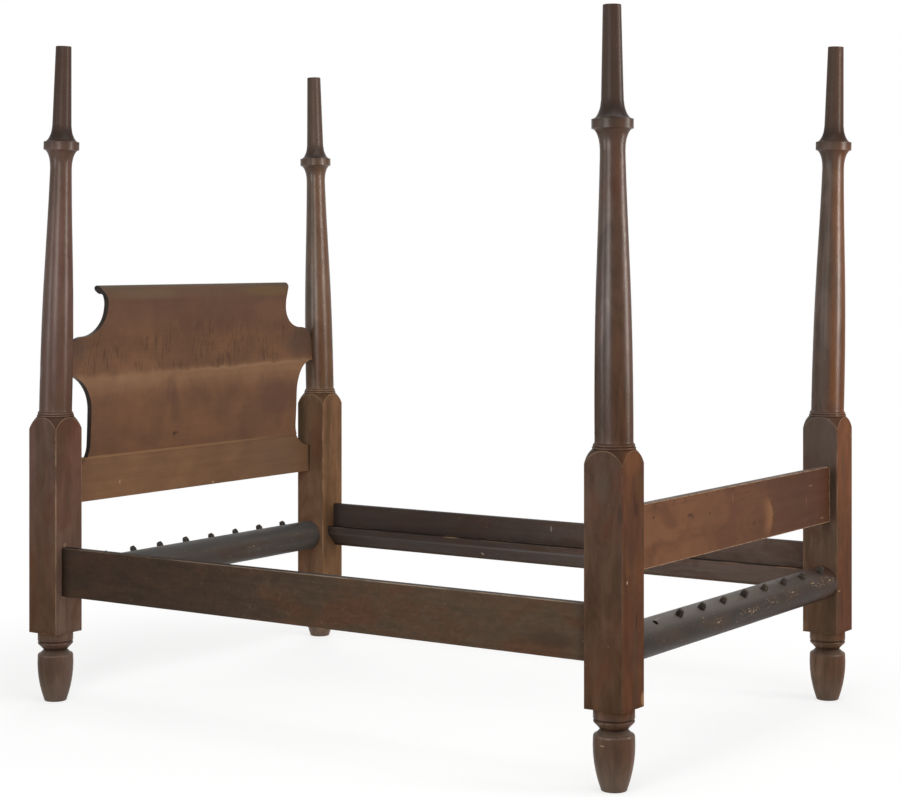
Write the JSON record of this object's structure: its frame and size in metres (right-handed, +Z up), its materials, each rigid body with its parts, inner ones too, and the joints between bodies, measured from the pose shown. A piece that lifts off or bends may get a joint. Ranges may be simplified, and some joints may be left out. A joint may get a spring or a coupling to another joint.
{
  "type": "tall-post rope bed",
  "caption": "Antique tall-post rope bed: turned posts, scrolled headboard, plain foot board, rabbeted side rails and round rope rails set with whittled pegs.",
  "frame": {"origin": "on the floor, midway between the axes of the four posts", "axes": "+X across the bed to the right seen from its foot, +Y from the foot to the head, +Z up"},
  "size_m": [1.48, 2.158, 2.0502],
  "materials": {
    "post_wood": "satin",
    "headboard_wood": "satin",
    "foot_board_wood": "satin",
    "side_rail_wood": "satin",
    "painted_rope_rail": "worn paint",
    "peg_wood": "matte"
  },
  "bodies": {
    "foot_end": {"post_foot_left": "post_wood", "post_foot_right": "post_wood", "foot_board": "foot_board_wood", "foot_rope_rail": "painted_rope_rail", "foot_rope_peg_2": "peg_wood", "foot_rope_peg_3": "peg_wood", "foot_rope_peg_4": "peg_wood", "foot_rope_peg_5": "peg_wood", "foot_rope_peg_6": "peg_wood", "foot_rope_peg_7": "peg_wood", "foot_rope_peg_8": "peg_wood", "foot_rope_peg_9": "peg_wood"},
    "left_side_rail": {"side_rail_left": "side_rail_wood"},
    "right_side_rail": {"side_rail_right": "side_rail_wood"},
    "head_end": {"post_head_left": "post_wood", "post_head_right": "post_wood", "headboard_panel": "headboard_wood", "headboard_rail": "headboard_wood", "head_rope_rail": "painted_rope_rail", "head_rope_peg_1": "peg_wood", "head_rope_peg_2": "peg_wood", "head_rope_peg_3": "peg_wood", "head_rope_peg_4": "peg_wood", "head_rope_peg_5": "peg_wood", "head_rope_peg_6": "peg_wood", "head_rope_peg_7": "peg_wood", "head_rope_peg_8": "peg_wood", "head_rope_peg_9": "peg_wood"}
  },
  "joints": [
    {"name": "left_rail_tenon", "type": "slide", "parent": "foot_end", "child": "left_side_rail", "axis": [0, 1, 0], "range_m": [0, 0.05]},
    {"name": "right_rail_tenon", "type": "slide", "parent": "foot_end", "child": "right_side_rail", "axis": [0, 1, 0], "range_m": [0, 0.05]},
    {"name": "head_end_tenon", "type": "slide", "parent": "left_side_rail", "child": "head_end", "axis": [0, 1, 0], "range_m": [0, 0.05]}
  ],
  "couplings": [
    {"joint": "right_rail_tenon", "follows": "left_rail_tenon", "ratio": 1}
  ]
}
